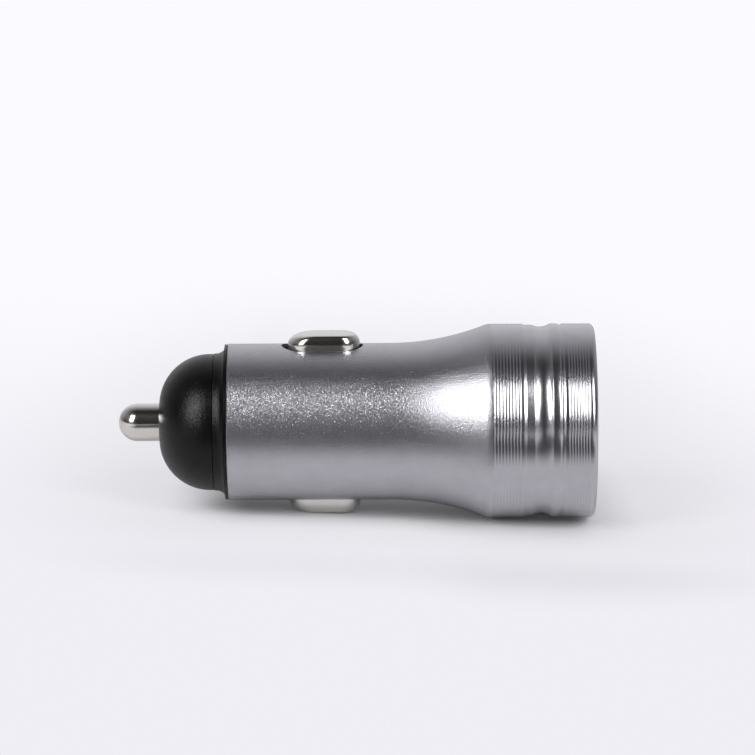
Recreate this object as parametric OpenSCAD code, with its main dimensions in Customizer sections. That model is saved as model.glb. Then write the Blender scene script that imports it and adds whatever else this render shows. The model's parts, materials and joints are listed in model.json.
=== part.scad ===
// Car USB charger plug, lying on its side.
// The plug axis is X. The origin is on that axis, where the straight barrel ends and the flare starts,
// which comes to the mouth of the car's socket. The nose points along -X and the two ports open along +X.

/* [Barrel] */
// Diameter of the straight barrel that goes into the socket
barrel_d = 20.8; // [19:0.1:23]
// Length of the straight barrel
barrel_length = 21.5; // [19:0.5:28]
// Wall of the barrel
barrel_wall = 1.1; // [0.8:0.05:1.5]
// Bevel on the barrel's front edge
barrel_bevel = 0.2; // [0.1:0.05:0.4]

/* [Flare and head] */
// Radius of the hollow flare between barrel and head
flare_radius = 35; // [25:1:60]
// Radius of the round shoulder where the flare meets the head
shoulder_radius = 3.4; // [1.5:0.1:6]
// Length of the straight head
head_length = 13.5; // [12.5:0.1:18]
// Wall of the head around the face plate
head_wall = 1.5; // [1:0.1:2]
// Radius on the rim of the open end
rim_radius = 0.8; // [0.4:0.1:1]

/* [Turned rings] */
// Number of fine grooves in the inner band
inner_groove_count = 9; // [4:1:10]
// Spacing of the grooves in the inner band
inner_groove_pitch = 0.42; // [0.3:0.01:0.45]
// Number of fine grooves in the outer band
outer_groove_count = 8; // [4:1:9]
// Spacing of the grooves in the outer band
outer_groove_pitch = 0.37; // [0.3:0.01:0.4]
// Width of a fine groove
groove_width = 0.24; // [0.15:0.01:0.28]
// Depth of a fine groove
groove_depth = 0.08; // [0.05:0.01:0.15]
// Step from the inner band down to the ring beside it
ring_step = 0.15; // [0.05:0.01:0.3]
// Length of the sloped side of that step
ring_slope = 0.35; // [0.1:0.05:0.5]
// Length of the lower ring, with its slope
low_ring_length = 1.1; // [0.8:0.05:1.5]
// Width of the round hollow between the two bands
cove_width = 2.7; // [1.5:0.1:3]
// Depth of that hollow
cove_depth = 0.4; // [0.2:0.01:0.6]
// Length of the upper ring, up to the middle of the wide groove
high_ring_length = 1.25; // [0.8:0.05:1.5]
// Width of the wide groove
wide_groove_width = 0.7; // [0.4:0.05:0.9]
// Depth of the wide groove
wide_groove_depth = 0.15; // [0.05:0.01:0.3]

/* [Nose] */
// Step from the barrel down to the nose
nose_step = 1.35; // [0.8:0.05:2.5]
// Length of the nose in front of the barrel
nose_length = 9.1; // [8:0.1:12]
// Radius on the front corner of the nose
nose_round = 6.75; // [4:0.05:7]
// Wall of the nose
nose_wall = 1.8; // [1.2:0.1:2.2]
// Thickness of the lip in front of the barrel's edge
lip_thickness = 0.4; // [0.3:0.05:0.8]
// Length of the cone from the nose up to the lip
lip_cone = 0.85; // [0.4:0.05:1.2]
// Height of the raised ring behind the dome
nose_ring_height = 0.08; // [0.04:0.02:0.2]
// Length of the raised ring, the cone and the lip together
nose_ring_length = 1.77; // [1.5:0.01:2.5]
// Length of the spigot that holds the nose in the barrel
spigot_length = 3.8; // [2.5:0.1:5]

/* [Centre pin] */
// Diameter of the centre pin
pin_d = 5; // [4:0.1:6]
// Length that stands out of the nose at rest
pin_reach = 5.4; // [4:0.1:7]
// Travel of the pin into the nose
pin_travel = 2.5; // [1.5:0.1:3]
// Height of the collar that keeps the pin in
collar_step = 1.1; // [0.6:0.1:1.5]
// Thickness of that collar
collar_thickness = 1; // [0.6:0.1:1.5]

/* [Side contacts] */
// Distance from the barrel's front edge to the middle of the slots
slot_from_front = 12.6; // [11:0.1:14]
// Length of a slot
slot_length = 10.8; // [9:0.1:12]
// Length of a contact button
contact_length = 9.55; // [8:0.05:10]
// Width of a contact button
contact_width = 5.2; // [4:0.1:6]
// Gap between a button and the long sides of its slot
slot_gap = 0.15; // [0.1:0.01:0.3]
// Distance that a button sits off the middle of its slot, towards the head
contact_shift = 0.23; // [0:0.01:0.4]
// Height of a button above the barrel at rest
contact_reach = 1.6; // [1:0.05:2]
// Travel of a button into the barrel
contact_travel = 1.5; // [0.8:0.05:1.8]
// Wall of a button
contact_wall = 0.6; // [0.4:0.05:0.8]
// Lip of a button behind the barrel wall
contact_lip = 0.7; // [0.4:0.05:1]
// Radius on the long edges of a button
crown_edge = 0.65; // [0.4:0.05:1.2]
// Radius on the end of a button that points at the head
crown_side = 1.1; // [0.6:0.05:1.4]
// Length of the ramp on the end that points at the nose
crown_ramp = 2.2; // [1.5:0.1:3]
// Height of that ramp
crown_height = 1.5; // [1:0.05:1.8]

/* [Ports] */
// Outside width of a port shell
port_width = 13.1; // [12:0.05:14]
// Outside height of a port shell
port_height = 5.72; // [5.2:0.02:6.5]
// Depth of a port shell
port_depth = 14; // [12:0.1:15]
// Sheet thickness of a port shell
port_sheet = 0.3; // [0.2:0.05:0.4]
// Thickness of the tongue
tongue_thickness = 1.84; // [1.5:0.02:2]
// Gap on each side of the tongue
tongue_side_gap = 0.7; // [0.4:0.05:1]
// Gap between the tongue and the outer wall of the shell
tongue_gap = 0.72; // [0.5:0.02:1]
// Width of a port pin
port_pin_width = 1; // [0.6:0.05:1.2]
// Distance from the middle of an outer pin to the edge of the tongue
port_pin_edge = 2.05; // [1.2:0.05:2.4]
// Distance from the middle of an inner pin to the middle of the tongue
port_pin_inner = 1; // [0.8:0.05:1.2]
// Plastic left between the corners of the ports and the edge of the face plate
face_margin = 2.1; // [1.4:0.1:3.5]
// Thickness of the face plate
face_thickness = 2.2; // [1.5:0.1:3]
// Depth of the face plate behind the rim
face_recess = 0.5; // [0.2:0.1:1]

/* [Circuit board] */
// Thickness of the board
board_thickness = 1.6; // [1:0.1:2]
// Length of the board under the port shells
board_under_ports = 9.5; // [6:0.5:11]
// Diameter of the choke
choke_d = 6.4; // [5:0.1:7]
// Height of the choke
choke_height = 4.4; // [3:0.1:5]
// Diameter of the input capacitor
can_d = 6.3; // [5:0.1:6.4]
// Length of the input capacitor
can_length = 7; // [5:0.1:8]

/* [Hidden] */
$fa = 4;
$fs = 0.2;

// Clearances
fit_gap = 0.05;
sliding_gap = 0.1;
pin_gap = 0.06;
seat_gap = 0.05;

// Barrel, flare and head
barrel_r = barrel_d / 2;
bore_r = barrel_r - barrel_wall;
front = -barrel_length;
port_corner_r = norm([port_width / 2, board_thickness / 2 + port_height]);
face_r = port_corner_r + face_margin;
cavity_r = face_r + fit_gap;
head_r = cavity_r + head_wall;
rise = head_r - barrel_r;
head_front = sqrt(2 * (flare_radius + shoulder_radius) * rise - rise * rise);
shoulder_front = head_front * flare_radius / (flare_radius + shoulder_radius);
head_end = head_front + head_length;
flare_bore_start = 0.3 * head_front;

// Turned rings, from the shoulder to the rim
inner_band_start = head_front + 0.05;
inner_band_end = inner_band_start + (inner_groove_count - 1) * inner_groove_pitch;
step_start = inner_band_end + 0.48;
cove_start = step_start + low_ring_length;
cove_end = cove_start + cove_width;
cove_middle = (cove_start + cove_end) / 2;
cove_radius = (cove_width * cove_width / 4 + cove_depth * cove_depth) / (2 * cove_depth);
wide_groove_x = cove_end + high_ring_length;
outer_band_start = wide_groove_x + 0.88;

// Nose
nose_r = barrel_r - nose_step;
nose_front = front - nose_length;
lip_r = barrel_r - 0.08;
spigot_r = bore_r - fit_gap;
spigot_wall = 1.3;
spigot_end = front + spigot_length;

// Centre pin and its spring
pin_r = pin_d / 2;
pin_tip = nose_front - pin_reach;
collar_r = pin_r + collar_step;
collar_front = nose_front + nose_wall + sliding_gap;
guide_r = collar_r + sliding_gap;
guide_wall = 1;
pin_wire = 0.5;
pin_coil_r = collar_r - pin_wire / 2 - 0.4;
pin_tail_r = pin_coil_r - pin_wire / 2 - 0.35;
pin_tail_length = 3;
terminal_thickness = 0.5;
terminal_tab_width = 2.4;
terminal_tab_sheet = 0.4;
terminal_tab_length = 3;
terminal_back = spigot_end + sliding_gap;
terminal_r = collar_r - 0.2;

// Carrier inside the barrel
carrier_front = terminal_back;
carrier_r = bore_r - fit_gap;
carrier_wall = 1.25;
carrier_plate = 1.2;
floor_height = 3.9;
floor_thickness = 1.2;
rail_depth = 0.35;
contact_x = front + slot_from_front + contact_shift;
flange_length = slot_length + 2 * contact_lip + 2 * contact_shift;
slot_width = contact_width + 2 * slot_gap;
flange_width = slot_width + 2 * contact_lip;
flange_thickness = 0.6;
flange_r = bore_r - sliding_gap;
window_gap = 0.2;
carrier_end = contact_x + flange_length / 2 + 1.5;

// Side contacts and their springs
contact_top = barrel_r + contact_reach;
ramp_radius = (crown_ramp * crown_ramp + crown_height * crown_height) / (2 * crown_height);
side_wire = 0.4;
side_coil_r = contact_width / 2 - contact_wall - side_wire / 2 - 0.15;
spring_hole_r = side_coil_r + side_wire / 2 + 0.3;

// Board
board_top = board_thickness / 2;
board_front = carrier_front + carrier_plate + 0.3;
board_half_width = carrier_r - carrier_wall + rail_depth - sliding_gap;
port_mouth = head_end - face_recess;
port_back = port_mouth - port_depth;
board_end = port_back + board_under_ports;
port_z = board_top + port_height / 2;

// Ports
port_corner = 0.7;
block_depth = 2.2;
tongue_width = port_width - 2 * port_sheet - 2 * tongue_side_gap;
tongue_setback = 1;
tongue_top = port_height / 2 - port_sheet - tongue_gap;
tongue_bottom = tongue_top - tongue_thickness;
port_pin_sheet = 0.3;
port_pin_outer = tongue_width / 2 - port_pin_edge;
port_pin_places = [-port_pin_outer, -port_pin_inner, port_pin_inner, port_pin_outer];
leaf_edge = 3.55;
leaf_front = 3;
leaf_width = 1.8;
leaf_length = 5;
leaf_cut = 0.4;

// Parts soldered to the board
solder_gap = 0.02;
behind_spring = contact_x + spring_hole_r + 0.6;
choke_x = carrier_end + 0.5 + choke_d / 2;
can_x = carrier_end + 0.5;
choke_flange = 0.8;
choke_post_d = 3.2;
winding_setback = 0.35;
winding_rows = 6;
can_lip = 0.5;
bung_depth = 0.6;
bung_proud = 0.2;
crimp_depth = 0.3;
crimp_from_back = 1.4;
vent_length = 3.6;
vent_width = 0.3;
vent_depth = 0.15;
can_lead_d = 0.6;
can_lead_pitch = 2.5;
can_lead_proud = 0.6;
can_lead_hole_gap = 0.1;
can_lead_x = can_x + can_length + bung_proud + 1.2;
chip_length = 4.9;
chip_width = 3.9;
chip_height = 1.5;
chip_stand = 0.15;
chip_draft = 0.14;
chip_mark_d = 0.7;
chip_mark_depth = 0.1;
chip_mark_inset = 0.9;
lead_pitch = 1.27;
lead_width = 0.4;
lead_reach = 1.05;
lead_knee = 0.2;
lead_heel = 0.35;
lead_sheet = 0.15;
moulded_length = 4.3;
moulded_width = 7.3;
moulded_height = 2.7;
moulded_draft = 0.2;
fuse_length = 3.2;
fuse_width = 4.5;
fuse_height = 1.2;
fuse_cap = 0.55;
resistor_length = 0.8;
resistor_width = 1.6;
resistor_height = 0.5;
resistor_cap = 0.28;
resistor_pitch = 1.6;
cap_step = 0.05;

anodised = [0.55, 0.55, 0.58];
plated = [0.80, 0.79, 0.76];
black_plastic = [0.05, 0.05, 0.055];
white_plastic = [0.88, 0.88, 0.85];
board_green = [0.05, 0.30, 0.15];
copper = [0.72, 0.42, 0.22];
ferrite = [0.18, 0.18, 0.20];

// Revolves a profile drawn as (radius, place along the axis)
module turned() {
    rotate([0, 90, 0]) rotate_extrude($fn = 128) children();
}

module span(inner_r, outer_r, start, end) {
    translate([inner_r, start]) square([outer_r - inner_r, end - start]);
}

module stadium(length, width) {
    square([length - width, width], center = true);
    for (side = [-1, 1]) translate([side * (length - width) / 2, 0]) circle(d = width);
}

module rounded_rectangle(width, height, radius) {
    square([width, height - 2 * radius], center = true);
    square([width - 2 * radius, height], center = true);
    for (x = [-1, 1], y = [-1, 1])
        translate([x * (width / 2 - radius), y * (height / 2 - radius)]) circle(r = radius);
}

// Stands an outline drawn in (Y, Z) up across the axis, from start to end
module across(start, end) {
    translate([start, 0, 0]) rotate([90, 0, 90]) linear_extrude(end - start) children();
}

// Extrudes an outline drawn in (X, Z) to both sides of y
module side_on(y, width) {
    translate([0, y + width / 2, 0]) rotate([90, 0, 0]) linear_extrude(width) children();
}

module fine_groove(x) {
    translate([head_r, x])
        polygon([[-groove_depth, 0], [groove_depth, -groove_width], [groove_depth, groove_width]]);
}

module outer_profile() {
    span(0, barrel_r, front, 0);
    difference() {
        span(0, head_r, 0, head_front);
        translate([barrel_r + flare_radius, 0]) circle(flare_radius, $fn = 360);
        difference() {
            span(head_r - shoulder_radius, head_r + 1, shoulder_front, head_front);
            translate([head_r - shoulder_radius, head_front]) circle(shoulder_radius);
        }
    }
    span(0, head_r, head_front, head_end);
}

module ring_cuts() {
    for (i = [0 : inner_groove_count - 1]) fine_groove(inner_band_start + i * inner_groove_pitch);
    for (i = [0 : outer_groove_count - 1]) fine_groove(outer_band_start + i * outer_groove_pitch);
    polygon([
        [head_r, step_start], [head_r - ring_step, step_start + ring_slope],
        [head_r - ring_step, cove_middle], [head_r + 1, cove_middle], [head_r + 1, step_start]
    ]);
    translate([head_r + cove_radius - cove_depth, cove_middle]) circle(cove_radius);
    translate([head_r, wide_groove_x]) polygon([
        [0, -wide_groove_width / 2], [-wide_groove_depth, -wide_groove_width / 6],
        [-wide_groove_depth, wide_groove_width / 6], [0, wide_groove_width / 2],
        [1, wide_groove_width / 2], [1, -wide_groove_width / 2]
    ]);
}

module rim_cut() {
    difference() {
        span(head_r - rim_radius, head_r + 1, head_end - rim_radius, head_end + 1);
        translate([head_r - rim_radius, head_end - rim_radius]) circle(rim_radius);
    }
}

module bore_profile() {
    span(0, bore_r, front - 1, flare_bore_start);
    polygon([[0, flare_bore_start], [bore_r, flare_bore_start], [cavity_r, head_front], [0, head_front]]);
    span(0, cavity_r, head_front, head_end + 1);
}

module barrel_shell() {
    color(anodised) difference() {
        turned() difference() {
            outer_profile();
            bore_profile();
            ring_cuts();
            rim_cut();
            translate([barrel_r, front])
                polygon([[-barrel_bevel, -1], [-barrel_bevel, 0], [0, barrel_bevel], [1, barrel_bevel], [1, -1]]);
        }
        translate([front + slot_from_front, 0, 0])
            linear_extrude(3 * barrel_d, center = true) stadium(slot_length, slot_width);
    }
}

// Solid of a nose with one round front corner, from its front face back to the lip
module nose_profile(radius, nose_start, corner) {
    span(0, radius, nose_start + corner, front - lip_thickness);
    span(0, radius - corner, nose_start, front - lip_thickness);
    intersection() {
        translate([radius - corner, nose_start + corner]) circle(corner);
        span(0, radius, nose_start, front);
    }
}

module nose_cap() {
    hollow_r = nose_r - nose_wall;
    color(black_plastic) turned() difference() {
        union() {
            difference() {
                union() {
                    nose_profile(nose_r, nose_front, nose_round);
                    span(0, nose_r + nose_ring_height, front - nose_ring_length, front);
                    polygon([
                        [0, front - lip_thickness - lip_cone],
                        [nose_r + nose_ring_height, front - lip_thickness - lip_cone],
                        [lip_r, front - lip_thickness], [lip_r, front], [0, front]
                    ]);
                    span(0, spigot_r, front, spigot_end);
                }
                nose_profile(hollow_r, nose_front + nose_wall, nose_round - nose_wall);
                span(0, hollow_r, front - lip_thickness - 1, front + 0.5);
                span(0, spigot_r - spigot_wall, front + 0.5, spigot_end + 1);
            }
            span(0, guide_r + guide_wall, nose_front + nose_wall / 2, spigot_end - terminal_thickness);
        }
        span(0, pin_r + pin_gap, nose_front - 1, spigot_end);
        span(0, guide_r, nose_front + nose_wall, spigot_end + 1);
    }
}

module centre_pin() {
    color(plated) turned() {
        intersection() {
            translate([0, pin_tip + pin_r]) circle(pin_r);
            span(0, pin_r, pin_tip - 1, pin_tip + pin_r);
        }
        span(0, pin_r, pin_tip + pin_r, collar_front);
        span(0, collar_r, collar_front, collar_front + collar_thickness);
        span(0, pin_tail_r, collar_front + collar_thickness, collar_front + collar_thickness + pin_tail_length);
    }
}

// Height of a coil spring's wire after a number of turns: the first and last turns lie close
function coil_height(turn, turns, length, wire) =
    let (close = 1.2 * wire, open = (length - wire - 2 * close) / (turns - 2))
    turn < 1 ? close * turn
    : turn > turns - 1 ? length - wire - close * (turns - turn)
    : close + open * (turn - 1);

// A coil spring standing on the XY plane
module coil_spring(length, coil_r, wire, turns) {
    steps = 16;
    sides = 8;
    last = steps * turns;
    points = [
        for (i = [0 : last], k = [0 : sides - 1])
            let (
                around = 360 * i / steps,
                section = 360 * k / sides,
                r = coil_r + wire / 2 * cos(section),
                z = wire / 2 + coil_height(i / steps, turns, length, wire) + wire / 2 * sin(section)
            )
            [r * cos(around), r * sin(around), z]
    ];
    walls = [
        for (i = [0 : last - 1], k = [0 : sides - 1])
            let (a = i * sides + k, b = i * sides + (k + 1) % sides)
            each [[a, a + sides, b], [b, a + sides, b + sides]]
    ];
    start_cap = [for (k = [0 : sides - 1]) k];
    end_cap = [for (k = [sides - 1 : -1 : 0]) last * sides + k];
    polyhedron(points, concat(walls, [start_cap, end_cap]), convexity = 10);
}

module pin_spring() {
    start = collar_front + collar_thickness + seat_gap;
    length = terminal_back - terminal_thickness - seat_gap - start;
    color(plated) translate([start, 0, 0]) rotate([0, 90, 0]) coil_spring(length, pin_coil_r, pin_wire, 8);
}

// A dished washer behind the pin's spring, with a tab that lies on the board
module pin_terminal() {
    terminal_front = terminal_back - terminal_thickness;
    color(plated) union() {
        turned() span(0, terminal_r, terminal_front, terminal_back);
        side_on(0, terminal_tab_width) translate([terminal_front, board_top + solder_gap])
            square([board_front + terminal_tab_length - terminal_front, terminal_tab_sheet]);
    }
}

// A moulded tube with two floors that guide the side springs, rails for the board and a front plate
module contact_carrier() {
    tube_r = carrier_r - carrier_wall;
    length = carrier_end - carrier_front;
    color(white_plastic) difference() {
        union() {
            turned() {
                span(tube_r, carrier_r, carrier_front, carrier_end);
                span(0, carrier_r - carrier_wall / 2, carrier_front, carrier_front + carrier_plate);
            }
            intersection() {
                turned() span(0, tube_r + carrier_wall / 2, carrier_front, carrier_end);
                for (side = [-1, 1])
                    translate([carrier_front, -carrier_r, side * (floor_height + floor_thickness / 2) - floor_thickness / 2])
                        cube([length, 2 * carrier_r, floor_thickness]);
            }
        }
        across(carrier_front + carrier_plate, carrier_end + 1)
            square([2 * (tube_r + rail_depth), board_thickness + 2 * sliding_gap], center = true);
        across(carrier_front - 1, carrier_front + carrier_plate + 1)
            translate([0, board_top + 0.2]) square([2.8, 0.8], center = true);
        for (side = [0, 1]) mirror([0, 0, side]) {
            translate([contact_x, 0, floor_height + floor_thickness]) linear_extrude(barrel_r)
                stadium(flange_length + 2 * window_gap, flange_width + 2 * window_gap);
            translate([contact_x, 0, 0]) cylinder(barrel_r, r = spring_hole_r);
        }
    }
}

// A button that is long in X, with a long soft ramp towards the nose; inset shrinks it on every side
module button(inset, base) {
    ramp_end = contact_x - contact_length / 2 + crown_ramp;
    side_start = contact_x + contact_length / 2 - crown_side;
    edge_middle = contact_width / 2 - crown_edge;
    intersection() {
        translate([contact_x, 0, base]) linear_extrude(contact_top - inset - base)
            stadium(contact_length - 2 * inset, contact_width - 2 * inset);
        side_on(0, 2 * contact_width) {
            translate([ramp_end, contact_top - ramp_radius]) circle(ramp_radius - inset);
            translate([side_start, contact_top - crown_side]) circle(crown_side - inset);
            translate([ramp_end, base]) square([side_start - ramp_end, contact_top - inset - base]);
            translate([ramp_end - ramp_radius, base])
                square([side_start - ramp_end + ramp_radius, contact_top - ramp_radius - base]);
            translate([side_start, base]) square([crown_side - inset, contact_top - crown_side - base]);
        }
        across(contact_x - contact_length, contact_x + contact_length) {
            for (side = [-1, 1])
                translate([side * edge_middle, contact_top - crown_edge]) circle(crown_edge - inset);
            translate([-edge_middle, base]) square([2 * edge_middle, contact_top - inset - base]);
            translate([inset - contact_width / 2, base])
                square([contact_width - 2 * inset, contact_top - crown_edge - base]);
        }
    }
}

// A pressed cup: the button on a flange that follows the barrel's bore
module side_contact() {
    color(plated) difference() {
        union() {
            button(0, flange_r - 2 * flange_thickness);
            intersection() {
                translate([contact_x, 0, 0]) linear_extrude(barrel_r) stadium(flange_length, flange_width);
                turned() span(flange_r - flange_thickness, flange_r, front, carrier_end);
            }
        }
        button(contact_wall, -1);
    }
}

module side_contact_upper() {
    side_contact();
}

module side_contact_lower() {
    mirror([0, 0, 1]) side_contact();
}

module side_spring() {
    start = board_top + seat_gap;
    length = contact_top - contact_wall - seat_gap - start;
    color(plated) translate([contact_x, 0, start]) coil_spring(length, side_coil_r, side_wire, 10);
}

module side_spring_upper() {
    side_spring();
}

module side_spring_lower() {
    mirror([0, 0, 1]) side_spring();
}

module circuit_board() {
    corner = 1.2;
    color(board_green) translate([0, 0, -board_top]) linear_extrude(board_thickness) difference() {
        polygon([
            [board_front + corner, -board_half_width], [board_end, -board_half_width],
            [board_end, board_half_width], [board_front + corner, board_half_width],
            [board_front, board_half_width - corner], [board_front, corner - board_half_width]
        ]);
        for (side = [-1, 1]) translate([can_lead_x, side * can_lead_pitch / 2])
            circle(d = can_lead_d + 2 * can_lead_hole_gap);
    }
}

module face_plate() {
    skirt_wall = 1;
    skirt_length = 4;
    opening = [port_width + 2 * fit_gap, port_height + 2 * fit_gap];
    color(black_plastic) difference() {
        turned() {
            span(0, face_r, port_mouth - face_thickness, port_mouth);
            span(face_r - skirt_wall, face_r, port_mouth - face_thickness - skirt_length, port_mouth);
        }
        for (side = [-1, 1])
            across(port_mouth - face_thickness - 1, port_mouth + 1)
                translate([0, side * port_z]) rounded_rectangle(opening[0], opening[1], port_corner);
    }
}

// A folded sheet box, open at both ends, with two sprung leaves cut into its top and bottom
module port_shell() {
    color(plated) translate([0, 0, port_z]) difference() {
        across(port_back, port_mouth) difference() {
            rounded_rectangle(port_width, port_height, port_corner);
            rounded_rectangle(port_width - 2 * port_sheet, port_height - 2 * port_sheet, port_corner - port_sheet);
        }
        for (side = [-1, 1])
            translate([port_mouth - leaf_front - leaf_length, side * (port_width / 2 - leaf_edge), 0]) leaf_slot();
    }
}

module leaf_slot() {
    linear_extrude(2 * port_height, center = true) difference() {
        translate([0, -leaf_width / 2 - leaf_cut]) square([leaf_length, leaf_width + 2 * leaf_cut]);
        translate([-1, -leaf_width / 2]) square([leaf_length + 1 - leaf_cut, leaf_width]);
    }
}

module port_shell_upper() {
    port_shell();
}

module port_shell_lower() {
    mirror([0, 0, 1]) port_shell();
}

// The block that closes the back of a port and the tongue that carries its four pins
module port_tongue() {
    inside = [port_width - 2 * port_sheet - 2 * fit_gap, port_height - 2 * port_sheet - 2 * fit_gap];
    color(white_plastic) translate([0, 0, port_z]) difference() {
        union() {
            across(port_back + 0.2, port_back + 0.2 + block_depth)
                rounded_rectangle(inside[0], inside[1], port_corner - port_sheet);
            across(port_back + block_depth, port_mouth - tongue_setback)
                translate([-tongue_width / 2, tongue_bottom]) square([tongue_width, tongue_thickness]);
        }
        for (y = port_pin_places)
            side_on(y, port_pin_width + 2 * fit_gap)
                translate([port_back - 1, tongue_bottom - port_pin_sheet - fit_gap])
                    square([block_depth + 2, port_pin_sheet + 2 * fit_gap]);
    }
}

module port_tongue_upper() {
    port_tongue();
}

module port_tongue_lower() {
    mirror([0, 0, 1]) port_tongue();
}

// Four sprung pins: a tail on the board, a run through the block and a bow under the tongue
module port_pins() {
    top = tongue_bottom - solder_gap;
    low = top - port_pin_sheet;
    bow = 0.45;
    tip = port_mouth - tongue_setback - 1.2;
    block_front = port_back + 0.2 + block_depth;
    color(copper) translate([0, 0, port_z]) for (y = port_pin_places) side_on(y, port_pin_width)
        polygon([
            [port_back - 0.5, solder_gap - port_height / 2], [port_back - 0.5 + port_pin_sheet, solder_gap - port_height / 2],
            [port_back - 0.5 + port_pin_sheet, low], [block_front + 1, low],
            [tip - 2.4, low - bow], [tip, low], [tip, top],
            [tip - 2.4, top - bow], [block_front + 1, top], [port_back - 0.5, top]
        ]);
}

module port_pins_upper() {
    port_pins();
}

module port_pins_lower() {
    mirror([0, 0, 1]) port_pins();
}

module choke_core() {
    base = board_top + solder_gap;
    color(ferrite) translate([choke_x, 0, base]) {
        cylinder(choke_flange, d = choke_d, $fn = 64);
        cylinder(choke_height, d = choke_post_d, $fn = 64);
        translate([0, 0, choke_height - choke_flange]) cylinder(choke_flange, d = choke_d, $fn = 64);
    }
}

// Rows of wire on the choke's post; the outer row shows as round ribs
module choke_winding() {
    base = board_top + solder_gap + choke_flange + fit_gap;
    height = choke_height - 2 * choke_flange - 2 * fit_gap;
    inner_r = choke_post_d / 2 + fit_gap;
    outer_r = choke_d / 2 - winding_setback;
    row = height / winding_rows;
    color(copper) translate([choke_x, 0, base]) rotate_extrude($fn = 64) intersection() {
        translate([inner_r, 0]) square([outer_r - inner_r, height]);
        union() {
            square([outer_r - 0.5 * row, height]);
            for (i = [0 : winding_rows - 1]) translate([outer_r - 0.55 * row, (i + 0.5) * row]) circle(0.55 * row);
        }
    }
}

module under_board(x) {
    translate([x, 0, -board_top - solder_gap - can_d / 2]) children();
}

// A can lying under the board, scored with a cross on its closed end so that it can vent
module input_capacitor() {
    can_r = can_d / 2;
    color([0.16, 0.17, 0.28]) under_board(can_x) difference() {
        turned() difference() {
            span(0, can_r, 0, can_length);
            translate([can_r + crimp_depth, can_length - crimp_from_back]) circle(2 * crimp_depth);
            span(0, can_r - can_lip, can_length - bung_depth, can_length + 1);
        }
        for (turn = [45, 135]) rotate([turn, 0, 0]) translate([-1, -vent_width / 2, -vent_length / 2])
            cube([1 + vent_depth, vent_width, vent_length]);
    }
}

module capacitor_bung() {
    color([0.1, 0.1, 0.1]) under_board(can_x + can_length) turned()
        span(0, can_d / 2 - can_lip - fit_gap, -bung_depth, bung_proud);
}

// Two leads that leave the bung, turn up and go through the board
module capacitor_leads() {
    start = can_x + can_length + bung_proud + solder_gap;
    level = -board_top - solder_gap - can_d / 2;
    color(plated) for (side = [-1, 1]) translate([0, side * can_lead_pitch / 2, level]) {
        translate([start, 0, 0]) rotate([0, 90, 0]) cylinder(can_lead_x - start, d = can_lead_d);
        translate([can_lead_x, 0, 0]) sphere(d = can_lead_d);
        translate([can_lead_x, 0, 0]) cylinder(board_top + can_lead_proud - level, d = can_lead_d);
    }
}

// A moulded block on the XY plane, widest at half its height so that it leaves its mould
module drafted_block(length, width, height, draft) {
    intersection() {
        across(0, length) drafted_outline(width, height, draft);
        translate([length / 2, 0, 0]) side_on(0, width) drafted_outline(length, height, draft);
    }
}

module drafted_outline(width, height, draft) {
    half = width / 2;
    polygon([
        [draft - half, 0], [half - draft, 0], [half, height / 2],
        [half - draft, height], [draft - half, height], [-half, height / 2]
    ]);
}

// A block on the XY plane with a metal cap over each end in Y
module capped_block(length, width, height, cap) {
    translate([cap_step, cap / 2 - width / 2, cap_step])
        cube([length - 2 * cap_step, width - cap, height - 2 * cap_step]);
    for (side = [-1, 1]) translate([0, side * (width - cap) / 2 - cap / 2, 0]) cube([length, cap, height]);
}

module output_capacitor() {
    color([0.75, 0.55, 0.15]) translate([behind_spring, 0, board_top + solder_gap])
        drafted_block(moulded_length, moulded_width, moulded_height, moulded_draft);
}

module converter_chip() {
    mark_y = chip_width / 2 - chip_mark_inset;
    color([0.08, 0.08, 0.09]) translate([behind_spring, 0, -board_top - chip_stand - chip_height]) difference() {
        drafted_block(chip_length, chip_width, chip_height, chip_draft);
        translate([chip_mark_inset, mark_y, -1]) cylinder(1 + chip_mark_depth, d = chip_mark_d);
    }
}

// Bent leads: out of the chip at half its height, down to the board and out along it
module chip_leads() {
    half = chip_width / 2;
    height = chip_stand + chip_height / 2 - solder_gap - lead_sheet / 2;
    color(plated) for (i = [0 : 3], side = [0, 1]) mirror([0, side, 0])
        translate([behind_spring + chip_length / 2 + (i - 1.5) * lead_pitch - lead_width / 2, 0, -board_top - solder_gap])
            across(0, lead_width) polygon([
                [half + solder_gap, -height], [half + lead_knee, -height], [half + lead_heel, 0], [half + lead_reach, 0],
                [half + lead_reach, -lead_sheet], [half + lead_heel + lead_sheet, -lead_sheet],
                [half + lead_knee + lead_sheet, -height - lead_sheet], [half + solder_gap, -height - lead_sheet]
            ]);
}

module input_fuse() {
    color([0.1, 0.35, 0.2]) translate([board_front + 1, 0, -board_top - solder_gap - fuse_height])
        capped_block(fuse_length, fuse_width, fuse_height, fuse_cap);
}

module chip_resistors() {
    beside_choke = choke_d / 2 + 0.6;
    color([0.12, 0.12, 0.14]) for (i = [0 : 3])
        translate([
            choke_x - choke_d / 2 + i * resistor_pitch,
            -beside_choke - resistor_width / 2, board_top + solder_gap
        ])
            capped_block(resistor_length, resistor_width, resistor_height, resistor_cap);
}

barrel_shell();
nose_cap();
centre_pin();
pin_spring();
pin_terminal();
contact_carrier();
side_contact_upper();
side_contact_lower();
side_spring_upper();
side_spring_lower();
circuit_board();
face_plate();
port_shell_upper();
port_shell_lower();
port_tongue_upper();
port_tongue_lower();
port_pins_upper();
port_pins_lower();
choke_core();
choke_winding();
input_capacitor();
capacitor_bung();
capacitor_leads();
output_capacitor();
converter_chip();
chip_leads();
input_fuse();
chip_resistors();
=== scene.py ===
# A car USB charger plug lying on a pale studio floor.
# The plug's axis is X, the nose points along -X and the two ports open along +X.
import json
import math

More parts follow.
